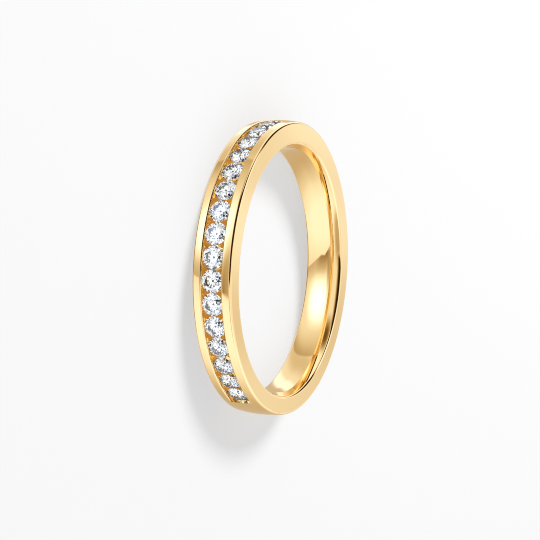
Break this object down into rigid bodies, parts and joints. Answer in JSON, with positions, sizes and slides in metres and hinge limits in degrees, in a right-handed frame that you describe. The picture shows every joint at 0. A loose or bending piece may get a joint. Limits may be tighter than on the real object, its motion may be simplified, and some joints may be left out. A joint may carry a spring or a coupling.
{
  "type": "channel set band",
  "caption": "Polished gold finger ring with a domed inside and a row of round brilliants held flush in a channel along part of its outside.",
  "frame": {"origin": "on the finger axis, in the plane of the side face the ring lies on (middle of the bottom of the box)", "axes": "+Z along the finger axis, up when the ring lies on its side; -Y towards the middle of the stone row; stone_01 is at the -X end of the row"},
  "size_m": [0.0202, 0.0202, 0.0027],
  "materials": {
    "gold": "mirror-polished 18 ct yellow gold",
    "stone": "clear colourless cut stone, polished facets"
  },
  "bodies": {
    "root": {"band": "gold", "stone_01": "stone", "stone_02": "stone", "stone_03": "stone", "stone_04": "stone", "stone_05": "stone", "stone_06": "stone", "stone_07": "stone", "stone_08": "stone", "stone_09": "stone", "stone_10": "stone", "stone_11": "stone", "stone_12": "stone", "stone_13": "stone", "stone_14": "stone", "stone_15": "stone", "stone_16": "stone", "stone_17": "stone"}
  },
  "joints": []
}
